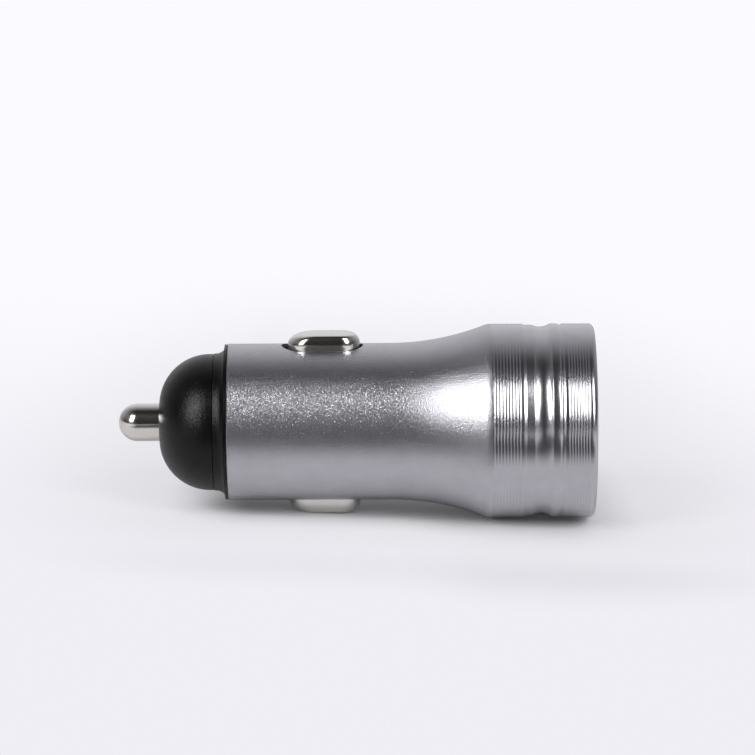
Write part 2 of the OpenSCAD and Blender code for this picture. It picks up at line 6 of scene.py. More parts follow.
import bpy
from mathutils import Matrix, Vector


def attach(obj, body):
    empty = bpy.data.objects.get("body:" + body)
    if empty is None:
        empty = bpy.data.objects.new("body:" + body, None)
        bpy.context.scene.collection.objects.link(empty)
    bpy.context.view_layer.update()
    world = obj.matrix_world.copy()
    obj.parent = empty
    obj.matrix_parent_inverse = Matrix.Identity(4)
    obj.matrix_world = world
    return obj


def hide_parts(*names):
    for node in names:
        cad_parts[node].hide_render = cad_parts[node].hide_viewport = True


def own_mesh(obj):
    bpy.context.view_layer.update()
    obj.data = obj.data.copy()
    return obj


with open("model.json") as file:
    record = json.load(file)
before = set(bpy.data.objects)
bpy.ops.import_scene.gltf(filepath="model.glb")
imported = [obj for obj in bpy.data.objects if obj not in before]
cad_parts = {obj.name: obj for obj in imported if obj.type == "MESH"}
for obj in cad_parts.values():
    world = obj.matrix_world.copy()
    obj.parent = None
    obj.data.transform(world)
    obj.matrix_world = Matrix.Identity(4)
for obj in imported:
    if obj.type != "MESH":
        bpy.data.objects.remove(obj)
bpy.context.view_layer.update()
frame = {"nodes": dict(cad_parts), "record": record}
scene = bpy.context.scene
scene.view_settings.view_transform = "Standard"

# Lengths of the plug are written in millimetres and turned to metres by MM
MM = 0.001

# Of each pair of contacts, springs and ports, the side of the axis and the name
LEVELS = ((1, "upper"), (-1, "lower"))

# Barrel, flare and head
BARREL_R = 10.4
FRONT = -21.5
BORE_R = 9.3
BARREL_BEVEL = 0.2
RIM_BEVEL = 0.1
FLARE_R = 35.0
SHOULDER_R = 3.4
CAVITY_R = 11.392
HEAD_R = 12.892
HEAD_FRONT = 13.608
BORE_END = 0.3 * HEAD_FRONT
HEAD_END = 27.108
RIM_R = 0.8

# Turned rings
INNER_GROOVES = 9
INNER_PITCH = 0.42
OUTER_GROOVES = 8
OUTER_PITCH = 0.37
GROOVE_WIDTH = 0.15
GROOVE_DEPTH = 0.058
GROOVE_LIP = 0.06
GROOVE_LIP_DROP = 0.012
BAND_GAP = 0.05
STEP_GAP = 0.48
RING_STEP = 0.15
RING_SLOPE = 0.35
LOW_RING = 1.1
COVE_WIDTH = 2.7
COVE_DEPTH = 0.4
HIGH_RING = 1.25
WIDE_WIDTH = 0.7
WIDE_DEPTH = 0.15
WIDE_GAP = 0.88

# Nose and pin
NOSE_R = 9.05
NOSE_FRONT = -30.6
NOSE_ROUND = 6.75
NOSE_WALL = 1.8
HOLE_EASE = 0.15
HOLE_EASE_DEPTH = 0.12
HOLLOW_STEP = 0.5
LIP_R = 10.32
LIP_THICKNESS = 0.4
LIP_CONE = 0.85
LIP_CURVE_R = 1.2
LIP_CURVE_AHEAD = 0.15
LIP_CURVE_OUT = 0.05
NOSE_RING = 0.08
NOSE_RING_LENGTH = 1.77
SPIGOT_R = 9.25
SPIGOT_END = -17.7
SPIGOT_WALL = 1.3
GUIDE_R = 3.7
GUIDE_WALL = 1.0
GUIDE_ROOT = 0.6
PIN_R = 2.5
PIN_GAP = 0.06
PIN_TIP = -36.0
COLLAR_FRONT = -28.7
COLLAR_R = 3.6
COLLAR_THICKNESS = 1.0
PIN_COIL_R = 2.95
PIN_WIRE = 0.5
PIN_TAIL = 3.0
PIN_TAIL_GAP = 0.35
TERMINAL_FRONT = -18.1

# Side contacts
SLOT_X = -8.9
SLOT_LENGTH = 10.8
SLOT_WIDTH = 5.5
SLOT_BEVEL = 0.12
CONTACT_X = -8.67
CONTACT_LENGTH = 9.55
CONTACT_WIDTH = 5.2
CONTACT_TOP = 12.0
CONTACT_BASE = 8.0
CONTACT_WALL = 0.6
CROWN_HEIGHT = 1.5
CROWN_RAMP = 2.2
CROWN_SIDE = 1.1
CROWN_EDGE = 0.65
CROWN_RINGS = 10
FLANGE_LENGTH = 12.66
FLANGE_WIDTH = 6.9
FLANGE_R = 9.2
FLANGE_THICKNESS = 0.6
SIDE_COIL_R = 1.65
SIDE_WIRE = 0.4

# Face plate and ports
FACE_R = 11.342
FACE_MOUTH = 26.608
FACE_THICKNESS = 2.2
SKIRT_WALL = 1.0
SKIRT_LENGTH = 4.0
PORT_Z = 3.66
PORT_WIDTH = 13.1
PORT_HEIGHT = 5.72
PORT_DEPTH = 14.0
PORT_CORNER = 0.7
PORT_SHEET = 0.3
PORT_GAP = 0.05
OPENING_BEVEL = 0.35
LEAF_Y = 3.0
LEAF_FRONT = 3.0
LEAF_LENGTH = 5.0
LEAF_WIDTH = 1.8
LEAF_CUT = 0.4
LEAF_BOW = 0.45
BLOCK_START = 0.2
BLOCK_DEPTH = 2.2
TONGUE_WIDTH = 11.1
TONGUE_TOP = 1.84
TONGUE_THICKNESS = 1.84
TONGUE_SETBACK = 1.0
TONGUE_BEVEL = 0.3
CHANNEL_END = 1.0
PIN_PLACES = (-3.5, -1.0, 1.0, 3.5)
PIN_WIDTH = 1.0
PIN_CHANNEL = 0.32

# How far a cutter reaches past its cut, and how near to an edge a point counts as on it
REACH = 2.0
NEAR = 0.02

# Points nearer than this, in metres, are merged
MERGE = 1e-7

# Springs
SPRING_STEPS = 32
CLOSE_PITCH = 1.2
PIN_COIL_START = -27.65
PIN_COIL_LENGTH = 9.5
PIN_COIL_TURNS = 8
SIDE_COIL_START = 0.85
SIDE_COIL_LENGTH = 10.5
SIDE_COIL_TURNS = 10

# Board parts whose finish changes along the piece
BOARD_THICKNESS = 1.6
BAND_FROM = -3.95
FUSE_BODY = 3.4
RESISTOR_Y = -4.6
RESISTOR_BODY = 1.04

# Studio, with lengths in metres and turns in degrees
FLOOR_SIZE = 8.0
SHADOW_MIDDLE = 0.0018
SHADOW_HALF = 0.0208
BOX_TURN = 42.0
BOX_RISE = 32.0
BOX_DISTANCE = 0.6
BOX_WIDTH = 0.20
BOX_HEIGHT = 0.38
BOX_POWER = 2.1
CAMERA_LENS = 195.4
CAMERA_PLACE = (-0.0016, -0.5319, 0.1190)
CAMERA_DROP = 12.0
CAMERA_ROLL = -0.27


# Materials

class Field:
    """A node's output that can stand in an expression."""

    def __init__(self, finish, socket):
        self.finish = finish
        self.socket = socket

    def combine(self, operation, first, second):
        return self.finish.node("ShaderNodeMath", {"operation": operation}, {0: first, 1: second})

    def __add__(self, other):
        return self.combine("ADD", self, other)

    def __radd__(self, other):
        return self.combine("ADD", other, self)

    def __sub__(self, other):
        return self.combine("SUBTRACT", self, other)

    def __rsub__(self, other):
        return self.combine("SUBTRACT", other, self)

    def __mul__(self, other):
        return self.combine("MULTIPLY", self, other)

    def __rmul__(self, other):
        return self.combine("MULTIPLY", other, self)

    def __gt__(self, other):
        return self.combine("GREATER_THAN", self, other)

    def __abs__(self):
        return self.combine("ABSOLUTE", self, 0.0)

    def most(self, other):
        return self.combine("MAXIMUM", self, other)


class Finish:
    """A node tree and the few nodes that every finish starts from."""

    def __init__(self, name=None, tree=None):
        if name:
            self.material = bpy.data.materials.new(name)
            self.material.use_nodes = True
            tree = self.material.node_tree
            self.surface = tree.nodes["Principled BSDF"]
        self.tree = tree

    def node(self, kind, settings=None, inputs=None, output=0):
        made = self.tree.nodes.new(kind)
        for name, value in (settings or {}).items():
            setattr(made, name, value)
        for name, value in (inputs or {}).items():
            if isinstance(value, Field):
                self.tree.links.new(value.socket, made.inputs[name])
            else:
                made.inputs[name].default_value = value
        return Field(self, made.outputs[output])

    def place(self):
        return self.node("ShaderNodeTexCoord", output="Object")

    def axis(self, name):
        return self.node("ShaderNodeSeparateXYZ", inputs={0: self.place()}, output=name)

    def stretched(self, scale):
        return self.node("ShaderNodeMapping", inputs={"Vector": self.place(), "Scale": scale})

    def noise(self, scale, detail=2.0, vector=None):
        return self.node(
            "ShaderNodeTexNoise", inputs={"Vector": vector or self.place(), "Scale": scale, "Detail": detail}
        )

    def cells(self, scale):
        return self.node("ShaderNodeTexVoronoi", inputs={"Vector": self.place(), "Scale": scale})

    def rise(self, value, low, high):
        """Goes smoothly from 0 at low to 1 at high."""
        return self.node(
            "ShaderNodeMapRange",
            {"interpolation_type": "SMOOTHSTEP"},
            {"Value": value, "From Min": low, "From Max": high},
        )

    def blend(self, factor, first, second):
        return self.node("ShaderNodeMix", {"data_type": "RGBA"}, {0: factor, 6: first, 7: second}, output=2)

    def bump(self, height, depth):
        return self.node("ShaderNodeBump", inputs={"Height": height, "Distance": depth, "Strength": 1.0})

    def set(self, values):
        for name, value in values.items():
            if isinstance(value, Field):
                self.tree.links.new(value.socket, self.surface.inputs[name])
            else:
                self.surface.inputs[name].default_value = value


def anodised_aluminium():
    """Blasted on the barrel and the flare, and turned with a fine lathe mark on the head."""
    f = Finish("anodised_aluminium")
    head = f.rise(f.axis("X"), (HEAD_FRONT - 0.4) * MM, (HEAD_FRONT + 0.2) * MM)
    grain = f.noise(9500.0, 0.0)
    cloud = f.noise(420.0, 3.0)
    turning = f.noise(1.0, 2.0, f.stretched((16000.0, 60.0, 60.0)))
    blasted = grain * (1.0 - 0.9 * head)
    f.set({
        "Base Color": f.blend(cloud, (0.495, 0.49, 0.53, 1.0), (0.595, 0.59, 0.635, 1.0)),
        "Metallic": 1.0,
        "Roughness": 0.275 + 0.01 * cloud - 0.04 * head,
        "Normal": f.bump(blasted + 0.07 * head * turning, 3.4e-5),
    })
    return f


def black_plastic():
    f = Finish("black_plastic")
    grain = f.noise(9000.0, 0.0)
    cloud = f.noise(300.0, 2.0)
    f.set({
        "Base Color": f.blend(cloud, (0.0012, 0.0012, 0.0016, 1.0), (0.002, 0.002, 0.0026, 1.0)),
        "Roughness": 0.278 + 0.01 * cloud,
        "Specular IOR Level": 0.29,
        "Normal": f.bump(grain, 2.9e-5),
    })
    return f


def nickel_plate():
    f = Finish("nickel_plate")
    cloud = f.noise(500.0, 3.0)
    scuff = f.noise(1.0, 3.0, f.stretched((900.0, 9000.0, 9000.0)))
    f.set({
        "Base Color": f.blend(cloud, (0.76, 0.735, 0.70, 1.0), (0.82, 0.80, 0.77, 1.0)),
        "Metallic": 1.0,
        "Roughness": 0.14 + 0.06 * cloud,
        "Normal": f.bump(scuff, 1.0e-6),
    })
    return f


def spring_wire():
    f = Finish("spring_wire")
    cloud = f.noise(900.0, 3.0)
    f.set({
        "Base Color": f.blend(cloud, (0.50, 0.49, 0.47, 1.0), (0.66, 0.65, 0.63, 1.0)),
        "Metallic": 1.0,
        "Roughness": 0.24 + 0.12 * cloud,
        "Normal": f.bump(f.noise(9000.0), 3.0e-6),
    })
    return f


def tin_plate():
    f = Finish("tin_plate")
    cloud = f.noise(1100.0, 4.0)
    f.set({
        "Base Color": f.blend(cloud, (0.58, 0.58, 0.57, 1.0), (0.76, 0.76, 0.75, 1.0)),
        "Metallic": 1.0,
        "Roughness": 0.30 + 0.16 * cloud,
        "Normal": f.bump(cloud, 8.0e-6),
    })
    return f


def white_plastic():
    f = Finish("white_plastic")
    cloud = f.noise(260.0, 2.0)
    f.set({
        "Base Color": f.blend(cloud, (0.74, 0.73, 0.69, 1.0), (0.80, 0.79, 0.76, 1.0)),
        "Roughness": 0.38 + 0.08 * cloud,
        "Normal": f.bump(f.noise(5000.0), 5.0e-6),
    })
    return f


def board_green():
    f = Finish("board_green")
    face = abs(f.axis("Z")) > (BOARD_THICKNESS / 2 - 0.01) * MM
    tracks = f.node(
        "ShaderNodeTexBrick",
        {"offset": 0.35, "squash": 0.6, "squash_frequency": 3},
        {"Vector": f.place(), "Scale": 320.0, "Mortar Size": 0.06, "Mortar Smooth": 0.3},
        output="Fac",
    )
    weave = f.node("ShaderNodeTexWave", inputs={"Vector": f.place(), "Scale": 900.0, "Distortion": 1.5})
    mask = f.blend(tracks, (0.012, 0.115, 0.050, 1.0), (0.006, 0.062, 0.028, 1.0))
    glass = f.blend(weave, (0.36, 0.33, 0.19, 1.0), (0.46, 0.43, 0.27, 1.0))
    f.set({
        "Base Color": f.blend(face, glass, mask),
        "Roughness": 0.55 - 0.27 * face,
        "Normal": f.bump(tracks * -1.0 + 0.2 * weave, 2.0e-5),
    })
    return f


def port_steel():
    f = Finish("port_steel")
    drawn = f.noise(1.0, 3.0, f.stretched((260.0, 9000.0, 9000.0)))
    cloud = f.noise(420.0, 2.0)
    f.set({
        "Base Color": f.blend(cloud, (0.60, 0.60, 0.59, 1.0), (0.70, 0.70, 0.69, 1.0)),
        "Metallic": 1.0,
        "Roughness": 0.20 + 0.12 * drawn,
        "Normal": f.bump(drawn, 3.0e-6),
    })
    return f


def gold_flash():
    f = Finish("gold_flash")
    cloud = f.noise(900.0, 2.0)
    f.set({
        "Base Color": f.blend(cloud, (0.78, 0.54, 0.20, 1.0), (0.88, 0.66, 0.30, 1.0)),
        "Metallic": 1.0,
        "Roughness": 0.16 + 0.08 * cloud,
        "Normal": f.bump(cloud, 3.0e-6),
    })
    return f


def ferrite():
    f = Finish("ferrite")
    speck = f.cells(3500.0)
    f.set({
        "Base Color": f.blend(speck, (0.030, 0.030, 0.032, 1.0), (0.060, 0.058, 0.058, 1.0)),
        "Roughness": 0.55 + 0.15 * speck,
        "Normal": f.bump(f.noise(3000.0, 4.0), 1.2e-5),
    })
    return f


def copper_wire():
    f = Finish("copper_wire")
    cloud = f.noise(700.0, 2.0)
    f.set({
        "Base Color": f.blend(cloud, (0.55, 0.20, 0.075, 1.0), (0.70, 0.30, 0.12, 1.0)),
        "Metallic": 0.9,
        "Roughness": 0.22 + 0.08 * cloud,
        "Coat Weight": 0.5,
    })
    return f


def can_sleeve():
    f = Finish("can_sleeve")
    drawn = f.noise(1.0, 2.0, f.stretched((9000.0, 120.0, 120.0)))
    f.set({
        "Base Color": f.blend(drawn, (0.58, 0.585, 0.60, 1.0), (0.70, 0.705, 0.72, 1.0)),
        "Metallic": 1.0,
        "Roughness": 0.28 + 0.10 * drawn,
        "Normal": f.bump(drawn, 3.0e-6),
    })
    return f


def rubber_bung():
    f = Finish("rubber_bung")
    cloud = f.noise(1500.0, 3.0)
    f.set({
        "Base Color": f.blend(cloud, (0.018, 0.018, 0.018, 1.0), (0.035, 0.034, 0.033, 1.0)),
        "Roughness": 0.68 + 0.12 * cloud,
        "Normal": f.bump(cloud, 1.5e-5),
    })
    return f


def yellow_moulding():
    f = Finish("yellow_moulding")
    band = f.axis("X") > BAND_FROM * MM
    cloud = f.noise(900.0, 2.0)
    body = f.blend(cloud, (0.62, 0.38, 0.055, 1.0), (0.72, 0.46, 0.085, 1.0))
    f.set({
        "Base Color": f.blend(band, body, (0.30, 0.10, 0.02, 1.0)),
        "Roughness": 0.40 + 0.10 * cloud,
        "Normal": f.bump(f.noise(5000.0), 8.0e-6),
    })
    return f


def chip_black():
    f = Finish("chip_black")
    grain = f.noise(6000.0, 2.0)
    f.set({
        "Base Color": f.blend(grain, (0.022, 0.022, 0.024, 1.0), (0.040, 0.040, 0.043, 1.0)),
        "Roughness": 0.50 + 0.12 * grain,
        "Normal": f.bump(grain, 8.0e-6),
    })
    return f


def fuse_green():
    f = Finish("fuse_green")
    ends = abs(f.axis("Y")) > FUSE_BODY / 2 * MM
    cloud = f.noise(1200.0, 2.0)
    body = f.blend(cloud, (0.030, 0.17, 0.075, 1.0), (0.045, 0.24, 0.11, 1.0))
    f.set({
        "Base Color": f.blend(ends, body, (0.66, 0.66, 0.65, 1.0)),
        "Metallic": ends,
        "Roughness": 0.45 - 0.12 * ends,
        "Normal": f.bump(cloud, 8.0e-6),
    })
    return f


def resistor_black():
    f = Finish("resistor_black")
    ends = abs(f.axis("Y") - RESISTOR_Y * MM) > RESISTOR_BODY / 2 * MM
    cloud = f.noise(2400.0, 2.0)
    body = f.blend(cloud, (0.018, 0.018, 0.020, 1.0), (0.035, 0.035, 0.038, 1.0))
    f.set({
        "Base Color": f.blend(ends, body, (0.68, 0.68, 0.67, 1.0)),
        "Metallic": ends,
        "Roughness": 0.26 + 0.10 * ends,
        "Normal": f.bump(cloud, 5.0e-6),
    })
    return f


finishes = {
    make.__name__: make()
    for make in (
        anodised_aluminium, black_plastic, nickel_plate, spring_wire, tin_plate, white_plastic,
        board_green, port_steel, gold_flash, ferrite, copper_wire, can_sleeve, rubber_bung,
        yellow_moulding, chip_black, fuse_green, resistor_black,
    )
}


# Modelling

def point(x, y, z):
    return Vector((x * MM, y * MM, z * MM))


def enter():
    bpy.ops.object.mode_set(mode="EDIT")


def leave():
    bpy.ops.object.mode_set(mode="OBJECT")


def alone(piece):
    bpy.ops.object.select_all(action="DESELECT")
    piece.select_set(True)
    bpy.context.view_layer.objects.active = piece


def place_applied(piece):
    alone(piece)
    bpy.ops.object.transform_apply(location=True, rotation=True, scale=True)


def choose(piece, wanted, part="vertices"):
    """Selects the vertices, edges or faces for which wanted() holds, and nothing else."""
    leave()
    enter()
    bpy.ops.mesh.select_mode(type={"vertices": "VERT", "edges": "EDGE", "polygons": "FACE"}[part])
    bpy.ops.mesh.select_all(action="DESELECT")
    leave()
    for item in getattr(piece.data, part):
        item.select = bool(wanted(item))
    enter()


def started(name):
    """Names the primitive that was just added, puts its place in its mesh and opens it for editing."""
    piece = bpy.context.object
    piece.name = name
    piece.data.name = name
    place_applied(piece)
    enter()
    bpy.ops.mesh.select_mode(type="VERT")
    bpy.ops.mesh.select_all(action="SELECT")
    return piece


def smooth(piece, degrees):
    alone(piece)
    bpy.ops.object.shade_smooth_by_angle(angle=math.radians(degrees))


def modify(piece, kind, **settings):
    alone(piece)
    modifier = piece.modifiers.new(kind, kind)
    for name, value in settings.items():
        setattr(modifier, name, value)
    bpy.ops.object.modifier_apply(modifier=modifier.name)


def cut(piece, cutter, operation="DIFFERENCE"):
    modify(piece, "BOOLEAN", object=cutter, operation=operation, solver="EXACT")
    bpy.data.objects.remove(cutter, do_unlink=True)


def finished(piece, finish, body, *nodes):
    piece.data.materials.clear()
    piece.data.materials.append(finishes[finish].material)
    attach(piece, body)
    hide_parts(*nodes)


def arc(middle_x, middle_r, radius, start, end, count):
    """Points of an arc, with angles in degrees from +X towards the outside."""
    points = []
    for i in range(count + 1):
        turn = math.radians(start + (end - start) * i / count)
        points.append((middle_x + radius * math.cos(turn), middle_r + radius * math.sin(turn)))
    return points


def turned(name, profile, steps=192, closed=True):
    """Spins an outline of (place along the axis, radius) about the plug's axis."""
    # A plane merged into one vertex gives the outline's first point
    bpy.ops.object.select_all(action="DESELECT")
    bpy.ops.mesh.primitive_plane_add(size=MM)
    piece = started(name)
    bpy.ops.mesh.merge(type="CENTER")
    bpy.ops.transform.translate(value=point(profile[0][0], 0.0, profile[0][1]))
    outline = list(profile) + ([profile[0]] if closed else [])
    for (x0, r0), (x1, r1) in zip(outline, outline[1:]):
        bpy.ops.mesh.extrude_region_move(
            TRANSFORM_OT_translate={"value": point(x1 - x0, 0.0, r1 - r0)}
        )
    bpy.ops.mesh.select_all(action="SELECT")
    bpy.ops.mesh.remove_doubles(threshold=MERGE)
    bpy.ops.mesh.spin(steps=steps, angle=math.tau, center=(0, 0, 0), axis=(1, 0, 0))
    bpy.ops.mesh.select_all(action="SELECT")
    bpy.ops.mesh.remove_doubles(threshold=10 * MERGE)
    bpy.ops.mesh.normals_make_consistent(inside=False)
    leave()
    return piece


def stadium(name, x, length, width, bottom, top, corners=96):
    """A block with round ends, long in X, standing on the XY plane."""
    bpy.ops.object.select_all(action="DESELECT")
    bpy.ops.mesh.primitive_circle_add(
        vertices=corners, radius=width / 2 * MM, fill_type="NGON", location=point(x, 0, bottom),
        rotation=(0, 0, math.pi / corners),
    )
    piece = started(name)
    for side in (-1, 1):
        choose(piece, lambda v: (v.co.x / MM - x) * side > 0)
        bpy.ops.transform.translate(value=point(side * (length - width) / 2, 0, 0))
    bpy.ops.mesh.select_all(action="SELECT")
    bpy.ops.mesh.extrude_region_move(TRANSFORM_OT_translate={"value": point(0, 0, top - bottom)})
    bpy.ops.mesh.select_all(action="SELECT")
    bpy.ops.mesh.normals_make_consistent(inside=False)
    leave()
    return piece


# Barrel

def groove(x):
    """A fine turned groove whose edges are rounded over a little."""
    half = GROOVE_WIDTH / 2
    rounded_r = HEAD_R - GROOVE_LIP_DROP
    return [
        (x - half - GROOVE_LIP, HEAD_R), (x - half, rounded_r), (x, HEAD_R - GROOVE_DEPTH),
        (x + half, rounded_r), (x + half + GROOVE_LIP, HEAD_R),
    ]


def eased(points, reach=0.05):
    """Cuts each inner corner of an outline into two near ones, so that flats still look flat."""
    outline = [points[0]]
    for before, corner, after in zip(points, points[1:], points[2:]):
        for near in (before, after):
            run = math.dist(corner, near)
            share = min(reach, 0.45 * run) / run
            outline.append(tuple(c + (n - c) * share for c, n in zip(corner, near)))
    return outline + [points[-1]]


def barrel_outline():
    """Goes from the front edge over the rings to the rim, and back along the inside."""
    turn = math.degrees(math.atan2(HEAD_R - SHOULDER_R - BARREL_R - FLARE_R, HEAD_FRONT))
    outline = [(FRONT + BARREL_BEVEL, BARREL_R)]
    outline += arc(0.0, BARREL_R + FLARE_R, FLARE_R, -90.0, turn, 48)
    outline += arc(HEAD_FRONT, HEAD_R - SHOULDER_R, SHOULDER_R, 180.0 + turn, 90.0, 8)[1:-1]
    band_start = HEAD_FRONT + BAND_GAP
    for i in range(INNER_GROOVES):
        outline += groove(band_start + i * INNER_PITCH)
    step_start = band_start + (INNER_GROOVES - 1) * INNER_PITCH + STEP_GAP
    low_r = HEAD_R - RING_STEP
    cove_start = step_start + LOW_RING
    cove_middle = cove_start + COVE_WIDTH / 2
    cove_r = (COVE_WIDTH ** 2 / 4 + COVE_DEPTH ** 2) / (2 * COVE_DEPTH)
    middle_r = HEAD_R + cove_r - COVE_DEPTH
    left = math.degrees(math.asin((middle_r - low_r) / cove_r))
    right = math.degrees(math.asin((middle_r - HEAD_R) / cove_r))
    cove = arc(cove_middle, middle_r, cove_r, 180.0 + left, 360.0 - right, 24)
    step = [outline[-1], (step_start, HEAD_R), (step_start + RING_SLOPE, low_r), cove[0], cove[1]]
    outline += eased(step)[1:-1] + cove[1:-1]
    wide_x = cove_start + COVE_WIDTH + HIGH_RING
    wide_r = HEAD_R - WIDE_DEPTH
    wide = [
        cove[-2], cove[-1], (wide_x - WIDE_WIDTH / 2, HEAD_R), (wide_x - WIDE_WIDTH / 6, wide_r),
        (wide_x + WIDE_WIDTH / 6, wide_r), (wide_x + WIDE_WIDTH / 2, HEAD_R), (wide_x + WIDE_WIDTH, HEAD_R),
    ]
    outline += eased(wide)[1:-1]
    for i in range(OUTER_GROOVES):
        outline += groove(wide_x + WIDE_GAP + i * OUTER_PITCH)
    outline += arc(HEAD_END - RIM_R, HEAD_R - RIM_R, RIM_R, 90.0, 0.0, 10)
    outline += [(HEAD_END, CAVITY_R + RIM_BEVEL), (HEAD_END - RIM_BEVEL, CAVITY_R), (HEAD_FRONT, CAVITY_R)]
    outline += [(BORE_END, BORE_R), (FRONT, BORE_R), (FRONT, BARREL_R - BARREL_BEVEL)]
    return outline


barrel = turned("ringed_barrel", barrel_outline(), 256)
cut(barrel, stadium("slot_cutter", SLOT_X, SLOT_LENGTH, SLOT_WIDTH, -HEAD_R - REACH, HEAD_R + REACH))


def on_slot_edge(edge):
    for index in edge.vertices:
        v = barrel.data.vertices[index].co / MM
        past_middle = max(abs(v.x - SLOT_X) - (SLOT_LENGTH - SLOT_WIDTH) / 2, 0.0)
        on_outside = abs(math.hypot(v.y, v.z) - BARREL_R) < NEAR
        if not on_outside or abs(math.hypot(past_middle, v.y) - SLOT_WIDTH / 2) > NEAR:
            return False
    return True


alone(barrel)
choose(barrel, on_slot_edge, "edges")
bpy.ops.mesh.bevel(offset=SLOT_BEVEL * MM, segments=2, affect="EDGES", clamp_overlap=True)
leave()
smooth(barrel, 21.0)
finished(barrel, "anodised_aluminium", "housing", "barrel_shell")


# Nose and pin

def nose_outline():
    """Goes over dome, ring, lip and spigot, and back through the hollow and the pin's guide."""
    hole_r = PIN_R + PIN_GAP
    middle_r = NOSE_R - NOSE_ROUND
    start = 180.0 - math.degrees(math.asin((hole_r + HOLE_EASE - middle_r) / NOSE_ROUND))
    outline = arc(NOSE_FRONT + NOSE_ROUND, middle_r, NOSE_ROUND, start, 90.0, 48)
    ring_front = FRONT - NOSE_RING_LENGTH
    ring_r = NOSE_R + NOSE_RING
    cone_front = FRONT - LIP_THICKNESS - LIP_CONE
    # A hair-fine groove lies in front of the ring, and the ring's edge is eased
    outline += [
        (ring_front - 0.1, NOSE_R), (ring_front - 0.03, NOSE_R - 0.05), (ring_front, NOSE_R - 0.02),
        (ring_front + 0.02, ring_r - 0.02), (ring_front + 0.08, ring_r), (cone_front, ring_r),
    ]
    outline += arc(cone_front - LIP_CURVE_AHEAD, LIP_R + LIP_CURVE_OUT, LIP_CURVE_R, -75.0, -20.0, 8)
    outline += [(FRONT - LIP_THICKNESS + 0.06, LIP_R), (FRONT, LIP_R), (FRONT, SPIGOT_R)]
    outline += [(SPIGOT_END, SPIGOT_R), (SPIGOT_END, SPIGOT_R - SPIGOT_WALL)]
    hollow_step = FRONT + HOLLOW_STEP
    outline += [(hollow_step, SPIGOT_R - SPIGOT_WALL), (hollow_step, NOSE_R - NOSE_WALL)]
    outline += arc(NOSE_FRONT + NOSE_ROUND, middle_r, NOSE_ROUND - NOSE_WALL, 90.0, 150.0, 12)
    guide_outer_r = GUIDE_R + GUIDE_WALL
    outline += [(NOSE_FRONT + NOSE_WALL + GUIDE_ROOT, guide_outer_r), (TERMINAL_FRONT, guide_outer_r)]
    outline += [(TERMINAL_FRONT, GUIDE_R), (NOSE_FRONT + NOSE_WALL, GUIDE_R)]
    outline += [(NOSE_FRONT + NOSE_WALL, hole_r), (NOSE_FRONT + HOLE_EASE_DEPTH, hole_r)]
    return outline


nose = turned("domed_nose", nose_outline())
smooth(nose, 32.0)
finished(nose, "black_plastic", "housing", "nose_cap")


def pin_outline():
    """Has a round tip, a collar that stays inside the nose and a tail inside the spring."""
    outline = arc(PIN_TIP + PIN_R, 0.0, PIN_R, 180.0, 90.0, 24)
    outline += [(COLLAR_FRONT, PIN_R), (COLLAR_FRONT, COLLAR_R - 0.1), (COLLAR_FRONT + 0.1, COLLAR_R)]
    back = COLLAR_FRONT + COLLAR_THICKNESS
    tail_r = PIN_COIL_R - PIN_WIRE / 2 - PIN_TAIL_GAP
    tail_end = back + PIN_TAIL
    outline += [(back - 0.1, COLLAR_R), (back, COLLAR_R - 0.1), (back, tail_r)]
    outline += [(tail_end - 0.2, tail_r), (tail_end, tail_r - 0.2), (tail_end, 0.0)]
    return outline


pin = turned("round_tipped_pin", pin_outline(), 96, closed=False)
smooth(pin, 32.0)
finished(pin, "nickel_plate", "pin", "centre_pin")


# Side contacts

